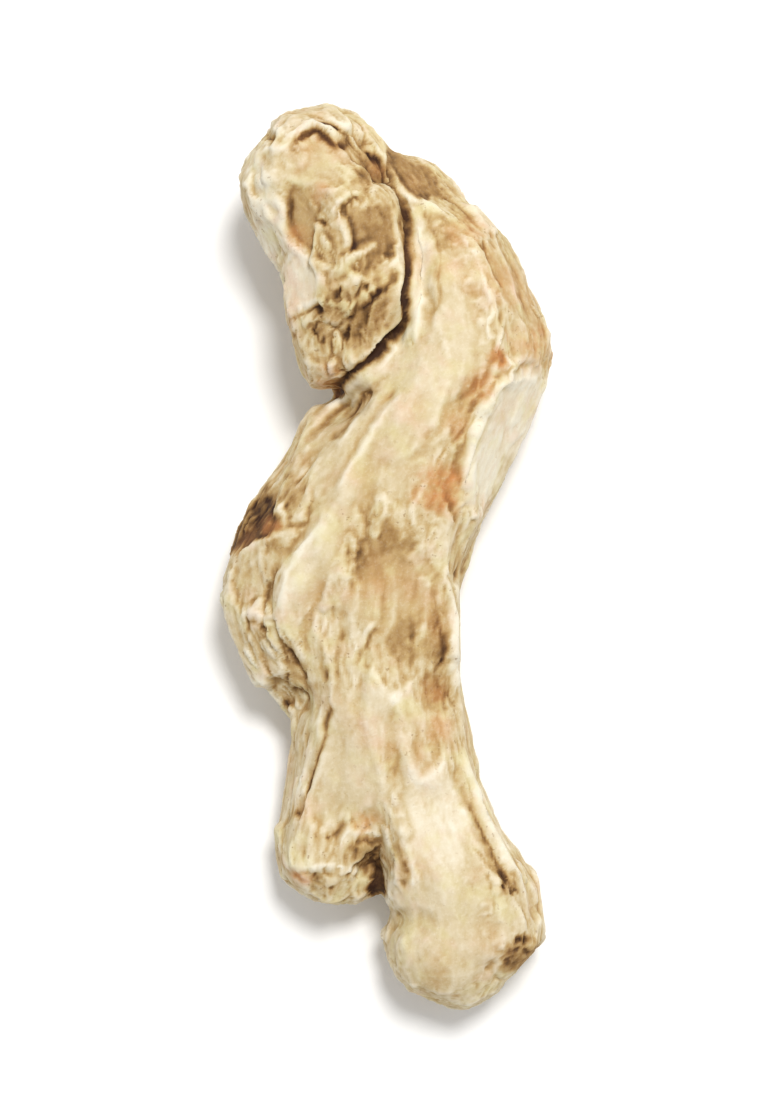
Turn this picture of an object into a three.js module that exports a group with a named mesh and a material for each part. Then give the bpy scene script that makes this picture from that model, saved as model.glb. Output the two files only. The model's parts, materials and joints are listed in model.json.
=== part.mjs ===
// A dried ginger root: one shrivelled rhizome with a stubby side branch, a shoulder bulge and two
// blunt fingers. Millimetres, +Z up. It lies on Z = 0 on three small flats, +Y runs along the root
// towards the side branch, and the origin is the middle of its outline on the table.
// The body is one smooth field, negative inside, whose zero surface becomes the mesh.

import * as THREE from "three";
import { ImprovedNoise } from "three/addons/math/ImprovedNoise.js";

// Driving dimensions
const CELL = 1.04; // spacing of the grid that the surface is found on
const BOX = { low: [-17, -40, -3], high: [17, 40, 20] };
const SECTION_POWER = 2.25; // 2 is an ellipse, more is squarer
const CUT_BLEND = 0.5; // how rounded the rim of a hollow is
const RELAX_ROUNDS = 6;
const MAX_PULL = 0.4; // the most that a vertex is moved back onto the surface in one round
const STEPS_PER_LOBE = 28;
const WALK = 0.1; // step of the search for the skin under a hollow
const FILLED = -1e-3; // value of a grid corner inside a crevice that is filled
const FOLD_SIDE = { low: 4.0, high: 7.0 }; // folds fade in between these heights above the table
const UP = new THREE.Vector3(0, 0, 1);

// Each lobe is a run of stations along its axis: [x, y, z, half width, half height].
// Its hollows are where the flesh has shrunk or the peel was cut: a ball sinks `depth` into the
// skin where the line from `at` towards `out` leaves the body. A ball with a `stretch` is that many
// times longer in the direction `heading`, in degrees from +X.
const LOBES = {
  trunk: {
    stations: [
      [0.8, 28.7, 7.2, 4.8, 4.9],
      [2.5, 24.2, 7.1, 7.0, 6.6],
      [4.8, 17.6, 7.15, 8.2, 7.0],
      [3.0, 11.2, 7.2, 7.7, 6.8],
      [0.1, 4.5, 7.0, 7.2, 6.4],
      [-0.8, -4.0, 6.6, 6.5, 6.2],
      [-1.1, -11.0, 6.2, 6.0, 5.6],
      [-0.4, -16.5, 5.8, 6.0, 5.0],
    ],
    blend: 0,
    wrinkles: { around: 2.4, along: 0.085, height: 0.95, seed: 3 },
    hollows: [
      { at: [2.4, 30.4, 7], out: [0.25, 0.25, 0.93], radius: 5, depth: 0.9, heading: 139, stretch: 1.7 },
      { at: [6.0, 20.5, 7], out: [0.78, 0.22, 0.58], radius: 13, depth: 1.1, heading: 108, stretch: 1.7 },
      { at: [4.6, 9.2, 7], out: [0.83, -0.33, 0.45], radius: 16, depth: 1.7, heading: 72, stretch: 1.5 },
      { at: [5.0, 8.0, 7], out: [0.2, -0.1, 0.97], radius: 4, depth: 0.9, heading: 78, stretch: 2.6 },
      { at: [-1.5, 8.6, 7], out: [-0.78, 0.42, 0.46], radius: 9, depth: 0.9, heading: 52, stretch: 1.9 },
      { at: [1.0, -7.4, 7], out: [0.15, 0.0, 0.98], radius: 8, depth: 1.0, heading: 84, stretch: 1.8 },
      { at: [1.5, -7.0, 6], out: [0.95, 0.0, 0.2], radius: 6, depth: 0.9, heading: 90, stretch: 2.2 },
      { at: [-0.5, 9.0, 4], out: [-0.1, 0.0, -0.99], radius: 11, depth: 1.6, heading: 107, stretch: 1.3 },
      { at: [0.8, -9.0, 4], out: [0.1, 0.0, -0.99], radius: 10, depth: 1.9, heading: 90, stretch: 1.5 },
      { at: [1.5, 30.0, 4], out: [0.1, 0.35, -0.93], radius: 7, depth: 1.2 },
    ],
  },
  shoulder: {
    stations: [
      [-3.2, 5.0, 6.6, 6.5, 5.8],
      [-7.2, -1.0, 6.0, 6.3, 5.8],
      [-8.2, -5.6, 5.4, 5.4, 5.0],
      [-6.8, -9.4, 4.9, 3.8, 4.2],
    ],
    blend: 2.4,
    wrinkles: { around: 2.0, along: 0.12, height: 0.8, seed: 11 },
    hollows: [
      { at: [-7.5, 1.5, 6], out: [-0.72, 0.4, 0.56], radius: 5, depth: 1.2 },
      { at: [-9.6, -4.0, 6], out: [-0.5, -0.1, 0.86], radius: 7, depth: 0.8, heading: 90, stretch: 1.3 },
      { at: [-9.5, -3.5, 4], out: [-0.9, -0.2, -0.4], radius: 8, depth: 0.8, heading: 90, stretch: 1.4 },
    ],
  },
  bigFinger: {
    stations: [
      [0.4, -13.0, 6.0, 4.8, 4.8],
      [2.4, -20.0, 5.6, 4.6, 5.2],
      [4.7, -26.2, 5.3, 5.2, 5.4],
      [6.2, -29.4, 5.2, 6.3, 5.3],
      [4.8, -31.8, 5.0, 5.2, 4.9],
    ],
    blend: 1.6,
    wrinkles: { around: 1.8, along: 0.09, height: 0.4, seed: 23 },
    hollows: [
      { at: [3.6, -20.5, 5], out: [0.1, 0.0, 0.99], radius: 12, depth: 0.5, heading: 114, stretch: 1.7 },
      { at: [7.0, -28.5, 5], out: [0.84, 0.05, 0.5], radius: 8, depth: 0.6, heading: 108, stretch: 1.6 },
      { at: [8.0, -31.8, 4], out: [0.74, -0.6, 0.3], radius: 3.5, depth: 0.8 },
      { at: [5.0, -32.5, 5], out: [-0.4, -0.85, 0.2], radius: 8, depth: 0.5 },
      { at: [2.6, -20.0, 4], out: [-0.1, 0.0, -0.99], radius: 8, depth: 1.3, heading: 101, stretch: 1.3 },
    ],
  },
  smallFinger: {
    stations: [
      [-1.8, -13.0, 5.8, 5.4, 4.8],
      [-4.0, -18.5, 5.2, 4.9, 4.7],
      [-4.6, -23.8, 4.9, 4.9, 4.6],
    ],
    blend: 1.3,
    wrinkles: { around: 1.8, along: 0.1, height: 0.6, seed: 31 },
    hollows: [
      { at: [-4.6, -19.6, 5], out: [-0.1, 0.0, 0.99], radius: 11, depth: 0.8, heading: 72, stretch: 1.5 },
      { at: [-5.0, -20.5, 5], out: [-0.88, 0.05, 0.45], radius: 8, depth: 0.7, heading: 78, stretch: 2 },
    ],
  },
  sideBranch: {
    stations: [
      [-6.7, 31.6, 9.4, 5.9, 5.2],
      [-3.5, 25.0, 10.0, 5.6, 5.5],
      [-3.5, 17.6, 9.7, 4.4, 4.7],
    ],
    blend: 2.1,
    wrinkles: { around: 2.2, along: 0.12, height: 0.9, seed: 47 },
    hollows: [
      { at: [-1.6, 25.0, 10], out: [0.3, 0.0, 0.95], radius: 6, depth: 0.9, heading: 90, stretch: 1.4 },
      { at: [-7.0, 27.0, 10], out: [-0.25, 0.1, 0.96], radius: 4.5, depth: 0.9, heading: 73, stretch: 1.3 },
      { at: [-1.9, 31.2, 9], out: [0.2, 0.1, 0.97], radius: 2.2, depth: 1.2 },
      { at: [-5.7, 17.6, 10], out: [-0.1, -0.2, 0.97], radius: 2.6, depth: 0.7, heading: 35, stretch: 1.6 },
      { at: [-5.8, 24.5, 8], out: [-0.45, 0.0, -0.89], radius: 7, depth: 1.0, heading: 79, stretch: 1.7 },
    ],
  },
};

// Hollows that go through more than one lobe: the hole between the fingers, the fold under the
// shoulder and the pits at the end of the small finger.
const HOLLOWS = [
  { at: [-1.7, -24.6, 4], out: [0.0, -0.25, 0.96], radius: 1.9, depth: 2.3 },
  { at: [-7.6, -9.4, 6], out: [-0.4, -0.66, 0.62], radius: 2.8, depth: 1.4 },
  { at: [-6.5, -25.6, 4], out: [-0.4, -0.7, 0.5], radius: 2.0, depth: 0.5 },
];

// Folds on the upper side, as seen from above: [x, y] points, height of the crest (a crease is
// negative) and half width.
const FOLDS = [
  // the crease that undercuts the side branch, and the trunk's lip beside it
  {
    path: [[-3.4, 33.6], [0.2, 30.2], [1.7, 26.6], [2.3, 23.0], [1.5, 18.8], [-1.2, 15.6], [-4.8, 13.6]],
    height: -0.7,
    width: 1.0,
  },
  { path: [[-1.6, 34.6], [1.4, 30.6], [3.1, 27.0], [3.9, 22.6], [3.2, 18.0]], height: 0.6, width: 0.8 },
  // net of ridges on the face of the side branch
  { path: [[-10.6, 30.4], [-6.6, 29.4], [-3.2, 28.6], [-0.4, 28.8]], height: 0.5, width: 0.8 },
  { path: [[-5.0, 29.0], [-4.6, 25.4], [-5.8, 22.0]], height: 0.6, width: 0.8 },
  { path: [[-9.8, 19.6], [-6.2, 20.4], [-2.6, 19.2], [0.2, 21.4]], height: 0.5, width: 0.8 },
  // crest between the top of the trunk and its right flank, down to the pale facet
  { path: [[4.8, 27.0], [7.0, 24.2], [8.0, 21.0], [8.3, 17.6], [9.6, 14.8]], height: 0.6, width: 0.9 },
  { path: [[9.6, 14.8], [7.2, 11.0], [6.3, 7.4], [6.6, 3.2]], height: 0.7, width: 0.8 },
  // long crest that swings over to the shoulder, and the crease left of it
  { path: [[2.0, 13.8], [-2.2, 8.1], [-5.4, 1.6], [-7.6, -1.8], [-8.6, -6.0]], height: 0.55, width: 1.0 },
  { path: [[-3.0, 13.0], [-6.0, 9.4], [-7.8, 6.4]], height: -0.5, width: 0.8 },
  // crests of the waist, and the pair that runs out along the small finger
  { path: [[4.4, -2.6], [4.5, -8.0], [4.9, -13.6]], height: 0.5, width: 0.8 },
  { path: [[-5.8, -7.6], [-5, -11], [-4.9, -14], [-6.2, -17.2], [-7.8, -21]], height: 0.6, width: 0.8 },
  { path: [[-1.9, -9.0], [-1.6, -14.0], [-1.4, -19.0], [-1.5, -22.4]], height: 0.35, width: 0.8 },
  // fold at the root of the big finger, its left lip over the hole, and its right crest
  { path: [[0.8, -15.0], [1.7, -17.6], [3.4, -18.6], [4.8, -17.0], [5.2, -14.4]], height: 0.5, width: 0.7 },
  { path: [[-0.3, -21.8], [0.8, -25.4], [0.0, -28.8]], height: 0.7, width: 0.8 },
  { path: [[6.0, -18.0], [7.2, -22.0], [8.6, -25.4], [9.2, -28.4]], height: 0.45, width: 0.8 },
];

// The field
const noise = new ImprovedNoise();

function smoothMin(a, b, k) {
  const h = Math.max(k - Math.abs(a - b), 0) / k;
  return Math.min(a, b) - (h * h * k) / 4;
}

function smoothMax(a, b, k) {
  return -smoothMin(-a, -b, k);
}

function smoothStep(low, high, x) {
  const t = THREE.MathUtils.clamp((x - low) / (high - low), 0, 1);
  return t * t * (3 - 2 * t);
}

// How far along the step from a to b the point nearest p lies, from 0 to 1.
function shareAlong(p, a, b) {
  const step = b.clone().sub(a);
  return THREE.MathUtils.clamp(p.clone().sub(a).dot(step) / step.lengthSq(), 0, 1);
}

// The stations as short straight steps.
function makeLobe({ stations, blend, wrinkles, hollows }) {
  const axis = new THREE.CatmullRomCurve3(
    stations.map(([x, y, z]) => new THREE.Vector3(x, y, z)),
  );
  const sizes = new THREE.CatmullRomCurve3(
    stations.map(([, , , width, height]) => new THREE.Vector3(width, height, 0)),
  );
  const steps = [];
  for (let i = 0; i <= STEPS_PER_LOBE; i++) {
    const t = i / STEPS_PER_LOBE;
    steps.push({ at: axis.getPoint(t), size: sizes.getPoint(t) });
  }
  const lobe = { steps, blend, wrinkles, length: axis.getLength() };
  lobe.hollows = hollows.map((hollow) => makeHollow(hollow, (p) => lobeDistance(lobe, p)));
  return lobe;
}

// Distance from a point to a lobe's wrinkled skin, measured along the ray from its axis.
function lobeDistance({ steps, wrinkles, length }, p) {
  let nearest = Infinity;
  let found = 0;
  let share = 0;
  for (let i = 0; i + 1 < steps.length; i++) {
    const t = shareAlong(p, steps[i].at, steps[i + 1].at);
    const d = steps[i].at.clone().lerp(steps[i + 1].at, t).distanceToSquared(p);
    if (d < nearest) {
      nearest = d;
      found = i;
      share = t;
    }
  }
  const [a, b] = [steps[found], steps[found + 1]];
  const size = a.size.clone().lerp(b.size, share);
  const tangent = b.at.clone().sub(a.at).normalize();
  const side = tangent.clone().cross(UP).normalize();
  const up = side.clone().cross(tangent);
  const offset = p.clone().sub(a.at.clone().lerp(b.at, share));
  const u = offset.dot(side) / size.x;
  const v = offset.dot(up) / size.y;
  const w = offset.dot(tangent) / ((size.x + size.y) / 2);
  const n = SECTION_POWER;
  const q = Math.max((Math.abs(u) ** n + Math.abs(v) ** n + Math.abs(w) ** n) ** (1 / n), 1e-3);
  const skin = Math.max(offset.length() * (1 - 1 / q), -size.y);
  const along = (found + share) * (length / STEPS_PER_LOBE) + w * size.x;
  return skin - wrinkleHeight(wrinkles, Math.atan2(v, u), along) * smoothStep(0.2, 0.8, q);
}

// Lengthwise folds of shrunken skin: sharp crests with hollow valleys between.
function wrinkleHeight({ around, along, height, seed }, angle, s) {
  const x = Math.cos(angle) * around;
  const y = Math.sin(angle) * around;
  const wander = 0.35 * noise.noise(s * 0.16, seed, x * 0.7);
  const first = noise.noise(x + wander, y - wander + seed, s * along + seed);
  const second = noise.noise(2 * x + seed, 2 * y + wander, s * along * 2);
  return height * (0.55 - 1.9 * Math.abs(first) + 0.5 * (0.4 - Math.abs(second)));
}

// A lobe with its own hollows pressed in.
function lobeField(lobe, p) {
  const f = lobeDistance(lobe, p);
  return f > 3 * CELL ? f : pressHollows(f, lobe.hollows, p);
}

function pressHollows(f, hollows, p) {
  return hollows.reduce((g, hollow) => smoothMax(g, -hollowDistance(hollow, p), CUT_BLEND), f);
}

function bodyDistance(p) {
  const [trunk, ...others] = lobes;
  let f = lobeField(trunk, p);
  for (const lobe of others) f = smoothMin(f, lobeField(lobe, p), lobe.blend);
  return f;
}

// The ball that presses a hollow, found by walking out from inside until the skin is met.
function makeHollow({ at, out, radius, depth, heading = 0, stretch = 1 }, distance) {
  const turn = THREE.MathUtils.degToRad(heading);
  const outward = new THREE.Vector3(...out).normalize();
  const skin = new THREE.Vector3(...at);
  while (distance(skin) < 0) skin.addScaledVector(outward, WALK);
  const centre = skin.addScaledVector(outward, radius - depth);
  return { centre, radius, along: new THREE.Vector3(Math.cos(turn), Math.sin(turn), 0), stretch };
}

function hollowDistance({ centre, radius, along, stretch }, p) {
  const offset = p.clone().sub(centre);
  offset.addScaledVector(along, offset.dot(along) * (1 / stretch - 1));
  return offset.length() - radius;
}

function makeFold({ path, height, width }) {
  const curve = new THREE.SplineCurve(path.map(([x, y]) => new THREE.Vector2(x, y)));
  return { points: curve.getPoints(4 * path.length), height, width };
}

function foldHeight({ points, height, width }, p) {
  const flat = new THREE.Vector2(p.x, p.y);
  let nearest = Infinity;
  for (let i = 0; i + 1 < points.length; i++) {
    const t = shareAlong(flat, points[i], points[i + 1]);
    nearest = Math.min(nearest, points[i].clone().lerp(points[i + 1], t).distanceTo(flat));
  }
  return height * Math.exp(-((nearest / width) ** 2));
}

const lobes = Object.values(LOBES).map(makeLobe);
const hollows = HOLLOWS.map((hollow) => makeHollow(hollow, bodyDistance));
const folds = FOLDS.map(makeFold);

function field(p) {
  let f = bodyDistance(p);
  if (f > 3 * CELL) return f;
  f = pressHollows(f, hollows, p);
  const upper = smoothStep(FOLD_SIDE.low, FOLD_SIDE.high, p.z);
  if (upper > 0) for (const fold of folds) f -= upper * foldHeight(fold, p);
  return f;
}

// The surface

// Fills crevices thinner than the grid, where two sheets of the surface would share a cell: wherever
// only opposite corners of a grid square, or of a grid cell, are inside, one more corner goes inside.
function settle(values, size) {
  const [nx, ny, nz] = size;
  const steps = [1, nx, nx * ny];
  const fill = (...corners) => {
    const best = corners.reduce((a, b) => (values[a] < values[b] ? a : b));
    values[best] = FILLED;
  };
  const squares = [[steps[0], steps[1]], [steps[0], steps[2]], [steps[1], steps[2]]];
  const diagonals = [0, 1, 2, 3].map((c) => (c & 1 ? steps[0] : 0) + (c & 2 ? steps[1] : 0));
  const whole = steps[0] + steps[1] + steps[2];
  let changed = true;
  while (changed) {
    changed = false;
    for (let m = 0; m + whole < values.length; m++) {
      const inside = (n) => values[n] < 0;
      for (const [a, b] of squares) {
        if (inside(m) !== inside(m + a + b) || inside(m + a) !== inside(m + b)) continue;
        if (inside(m) === inside(m + a)) continue;
        fill(...(inside(m) ? [m + a, m + b] : [m, m + a + b]));
        changed = true;
      }
      for (const d of diagonals) {
        const [near, far] = [m + d, m + whole - d];
        const others = [0, 1, 2, 3, 4, 5, 6, 7]
          .map((c) => m + (c & 1 ? steps[0] : 0) + (c & 2 ? steps[1] : 0) + (c & 4 ? steps[2] : 0))
          .filter((n) => n !== near && n !== far);
        if (inside(near) !== inside(far) || others.some((n) => inside(n) === inside(near))) continue;
        fill(...(inside(near) ? others : [near]));
        changed = true;
      }
    }
  }
}

// One vertex in each grid cell that the surface passes through, joined across each crossed grid edge.
function surfaceNet(distance) {
  const size = BOX.low.map((low, i) => Math.ceil((BOX.high[i] - low) / CELL) + 1);
  const at = (i, j, k) => (k * size[1] + j) * size[0] + i;
  const place = (i, j, k) =>
    new THREE.Vector3(BOX.low[0] + i * CELL, BOX.low[1] + j * CELL, BOX.low[2] + k * CELL);
  const values = new Float64Array(size[0] * size[1] * size[2]);
  for (let k = 0; k < size[2]; k++)
    for (let j = 0; j < size[1]; j++)
      for (let i = 0; i < size[0]; i++) values[at(i, j, k)] = distance(place(i, j, k));

  settle(values, size);

  const corners = [0, 1, 2, 3, 4, 5, 6, 7].map((c) => [c & 1, (c >> 1) & 1, (c >> 2) & 1]);
  const vertexOf = new Map();
  const points = [];
  const loose = new Set(); // vertices over a filled crevice, which have no surface to lie on
  for (let k = 0; k + 1 < size[2]; k++)
    for (let j = 0; j + 1 < size[1]; j++)
      for (let i = 0; i + 1 < size[0]; i++) {
        const crossings = [];
        corners.forEach((a, m) =>
          corners.slice(m + 1).forEach((b) => {
            if (Math.abs(a[0] - b[0]) + Math.abs(a[1] - b[1]) + Math.abs(a[2] - b[2]) !== 1) return;
            const fa = values[at(i + a[0], j + a[1], k + a[2])];
            const fb = values[at(i + b[0], j + b[1], k + b[2])];
            if (fa < 0 === fb < 0) return;
            const pa = place(i + a[0], j + a[1], k + a[2]);
            crossings.push(pa.lerp(place(i + b[0], j + b[1], k + b[2]), fa / (fa - fb)));
          }),
        );
        if (!crossings.length) continue;
        const middle = new THREE.Vector3();
        crossings.forEach((c) => middle.add(c));
        const filled = corners.some((c) => values[at(i + c[0], j + c[1], k + c[2])] === FILLED);
        if (filled) loose.add(points.length);
        vertexOf.set(at(i, j, k), points.length);
        points.push(middle.divideScalar(crossings.length));
      }

  const faces = [];
  const around = [
    { step: [1, 0, 0], ring: [[0, 0, 0], [0, -1, 0], [0, -1, -1], [0, 0, -1]] },
    { step: [0, 1, 0], ring: [[0, 0, 0], [0, 0, -1], [-1, 0, -1], [-1, 0, 0]] },
    { step: [0, 0, 1], ring: [[0, 0, 0], [-1, 0, 0], [-1, -1, 0], [0, -1, 0]] },
  ];
  for (let k = 1; k + 1 < size[2]; k++)
    for (let j = 1; j + 1 < size[1]; j++)
      for (let i = 1; i + 1 < size[0]; i++)
        for (const { step, ring } of around) {
          const here = values[at(i, j, k)] < 0;
          const there = values[at(i + step[0], j + step[1], k + step[2])] < 0;
          if (here === there) continue;
          const quad = ring.map(([a, b, c]) => vertexOf.get(at(i + a, j + b, k + c)));
          const [a, b, c, d] = here ? quad : quad.reverse();
          const slant = points[a].distanceTo(points[c]) < points[b].distanceTo(points[d]);
          faces.push(...(slant ? [[a, b, c], [a, c, d]] : [[a, b, d], [b, c, d]]));
        }
  return { points, faces, loose };
}

function gradient(distance, p) {
  const e = 0.15;
  return new THREE.Vector3(
    distance(new THREE.Vector3(p.x + e, p.y, p.z)) - distance(new THREE.Vector3(p.x - e, p.y, p.z)),
    distance(new THREE.Vector3(p.x, p.y + e, p.z)) - distance(new THREE.Vector3(p.x, p.y - e, p.z)),
    distance(new THREE.Vector3(p.x, p.y, p.z + e)) - distance(new THREE.Vector3(p.x, p.y, p.z - e)),
  ).divideScalar(2 * e);
}

// Evens the mesh out: each vertex goes halfway to its neighbours' middle, and back onto the surface.
function relax({ points, faces, loose }, distance) {
  const neighbours = points.map(() => new Set());
  for (const [a, b, c] of faces) {
    neighbours[a].add(b).add(c);
    neighbours[b].add(a).add(c);
    neighbours[c].add(a).add(b);
  }
  for (let round = 0; round < RELAX_ROUNDS; round++) {
    const moved = points.map((p, i) => {
      const middle = new THREE.Vector3();
      for (const n of neighbours[i]) middle.add(points[n]);
      return p.clone().lerp(middle.divideScalar(neighbours[i].size), 0.5);
    });
    moved.forEach((p, i) => {
      points[i].copy(p);
      if (loose.has(i)) return;
      const slope = gradient(distance, p);
      const pull = distance(p) / Math.max(slope.lengthSq(), 0.25);
      points[i].addScaledVector(slope, -THREE.MathUtils.clamp(pull, -MAX_PULL, MAX_PULL));
    });
  }
}

function rootGeometry() {
  const net = surfaceNet(field);
  relax(net, field);
  const positions = new Float32Array(net.points.length * 3);
  net.points.forEach((p, i) => positions.set([p.x, p.y, Math.max(p.z, 0)], i * 3));
  const geometry = new THREE.BufferGeometry();
  geometry.setAttribute("position", new THREE.BufferAttribute(positions, 3));
  geometry.setIndex(net.faces.flat());
  geometry.computeBoundingBox();
  const middle = geometry.boundingBox.getCenter(new THREE.Vector3());
  geometry.translate(-middle.x, -middle.y, 0);
  geometry.computeVertexNormals();
  return geometry;
}

const skin = new THREE.MeshStandardMaterial({ color: 0xd8c295, roughness: 0.88, metalness: 0 });

const root = new THREE.Group();
const ginger = new THREE.Mesh(rootGeometry(), skin);
ginger.name = "ginger_root";
root.add(ginger);

export default root;
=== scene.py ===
"""A dried ginger root, lying on a pale floor in soft light, seen from nearly overhead.

The root is one piece, made from the CAD solid: meshed again finely and evenly, then sculpted with
the folds, hollows and wrinkles of its shrunken skin, and painted. The root and the camera are in
millimetres, in the frame of the CAD. The light and the floor are in metres.
"""

import json
import math

import bpy
import numpy as np
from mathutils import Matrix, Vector

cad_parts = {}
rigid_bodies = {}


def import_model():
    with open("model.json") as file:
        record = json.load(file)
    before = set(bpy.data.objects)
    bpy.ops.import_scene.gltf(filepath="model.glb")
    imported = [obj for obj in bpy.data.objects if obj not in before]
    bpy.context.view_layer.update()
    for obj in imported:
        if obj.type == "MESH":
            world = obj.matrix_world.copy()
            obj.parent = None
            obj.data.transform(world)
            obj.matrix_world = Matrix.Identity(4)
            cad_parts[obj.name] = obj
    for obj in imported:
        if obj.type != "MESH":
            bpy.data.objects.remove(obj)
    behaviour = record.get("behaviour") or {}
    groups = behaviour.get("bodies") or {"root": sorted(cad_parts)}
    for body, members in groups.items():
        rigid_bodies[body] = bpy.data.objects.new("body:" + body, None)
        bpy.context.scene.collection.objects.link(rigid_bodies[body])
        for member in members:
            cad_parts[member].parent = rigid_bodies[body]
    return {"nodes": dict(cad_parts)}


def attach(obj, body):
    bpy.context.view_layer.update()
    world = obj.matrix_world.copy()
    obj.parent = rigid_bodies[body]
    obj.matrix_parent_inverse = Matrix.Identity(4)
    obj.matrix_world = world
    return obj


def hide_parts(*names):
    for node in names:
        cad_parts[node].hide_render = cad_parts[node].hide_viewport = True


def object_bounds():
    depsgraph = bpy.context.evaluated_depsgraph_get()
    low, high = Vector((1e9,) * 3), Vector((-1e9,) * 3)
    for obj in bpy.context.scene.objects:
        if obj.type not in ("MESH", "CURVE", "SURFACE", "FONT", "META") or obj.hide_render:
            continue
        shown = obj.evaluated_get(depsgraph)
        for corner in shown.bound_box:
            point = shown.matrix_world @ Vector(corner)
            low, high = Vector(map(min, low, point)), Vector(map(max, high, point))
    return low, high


MM = 0.001             # in metres

# Lobes of the root, each a line of stations: x, y, z, half width, half height. They don't shape the
# root. They give each point its place round and along the lobe that it is on.
LOBES = {
    "trunk": [
        (0.8, 28.7, 7.2, 4.8, 4.9), (2.5, 24.2, 7.1, 7.0, 6.6), (4.8, 17.6, 7.15, 8.2, 7.0),
        (3.0, 11.2, 7.2, 7.7, 6.8), (0.1, 4.5, 7.0, 7.2, 6.4), (-0.8, -4.0, 6.6, 6.5, 6.2),
        (-1.1, -11.0, 6.2, 6.0, 5.6), (-0.4, -16.5, 5.8, 6.0, 5.0),
    ],
    "shoulder": [
        (-3.2, 5.0, 6.6, 6.5, 5.8), (-7.2, -1.0, 6.0, 6.3, 5.8), (-8.2, -5.6, 5.4, 5.4, 5.0),
        (-6.8, -9.4, 4.9, 3.8, 4.2),
    ],
    "big_finger": [
        (0.4, -13.0, 6.0, 4.8, 4.8), (2.4, -20.0, 5.6, 4.6, 5.2), (4.7, -26.2, 5.3, 5.2, 5.4),
        (5.7, -29.4, 5.2, 6.0, 5.3), (6.0, -31.8, 5.0, 5.6, 4.9),
    ],
    "small_finger": [
        (-1.8, -13.0, 5.8, 5.4, 4.8), (-4.0, -18.5, 5.2, 4.9, 4.7), (-4.6, -23.8, 4.9, 4.9, 4.6),
    ],
    "side_branch": [
        (-6.7, 31.6, 9.4, 5.9, 5.2), (-3.5, 25.0, 10.0, 5.6, 5.5), (-3.5, 17.6, 9.7, 4.4, 4.7),
    ],
}
LOBE_RADIUS = 6.0      # a lobe's round-and-along coordinates are scaled to this radius
LOBE_SHARPNESS = 14.0  # how quickly the wrinkles of one lobe give way to the next
LOBES_APART = 50.0     # between the grain of one lobe and the next, so that it isn't repeated

VOXEL = 0.25           # about the width of the skin's faces
FACET_SMOOTHING = 14   # rounds that take the CAD solid's facets away

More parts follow.
